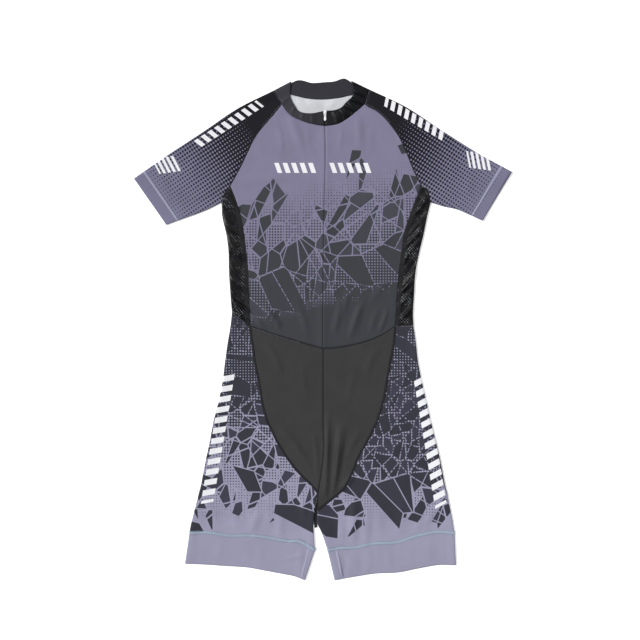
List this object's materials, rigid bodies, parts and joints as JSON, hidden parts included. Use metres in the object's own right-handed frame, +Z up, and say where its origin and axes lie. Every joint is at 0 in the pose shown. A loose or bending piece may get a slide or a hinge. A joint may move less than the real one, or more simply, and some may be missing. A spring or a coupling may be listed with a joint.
{
  "type": "speed skating suit",
  "caption": "One-piece short-sleeved speed skating suit with a stand collar, front zip, mesh sides and mid-thigh legs with wide elastic bands, laid flat front side up.",
  "frame": {"origin": "middle of the laid-out suit's outline, on the surface it lies on", "axes": "+Z up from the back of the suit to its front, +Y towards the collar, +X towards the wearer's left"},
  "size_m": [0.756, 0.9998, 0.0089],
  "materials": {
    "printed_knit": "matt elastane knit, printed lilac and black",
    "black_mesh": "fine black mesh knit",
    "dark_knit": "dull dark grey elastane knit",
    "band_knit": "ribbed lilac elastic knit",
    "collar_knit": "matt near-black knit",
    "zip_tape": "woven tape with a fine coil",
    "white_enamel": "white gloss enamel"
  },
  "bodies": {
    "suit": {"front_right": "printed_knit", "front_left": "printed_knit", "back": "printed_knit", "sleeve_right": "printed_knit", "sleeve_left": "printed_knit", "short_side_right": "printed_knit", "short_side_left": "printed_knit", "side_mesh_right": "black_mesh", "side_mesh_left": "black_mesh", "short_front_right": "dark_knit", "short_front_left": "dark_knit", "seat": "dark_knit", "leg_band_right": "band_knit", "leg_band_left": "band_knit", "collar_front_right": "collar_knit", "collar_front_left": "collar_knit", "collar_back": "collar_knit", "zip_chain": "zip_tape", "zip_slider": "white_enamel"},
    "pull_tab": {"zip_pull": "white_enamel"}
  },
  "joints": [
    {"name": "pull_hinge", "type": "hinge", "parent": "suit", "child": "pull_tab", "pos_m": [0.004, 0.433, 0.00705], "axis": [-1, 0, 0], "range_deg": [0, 165]}
  ]
}
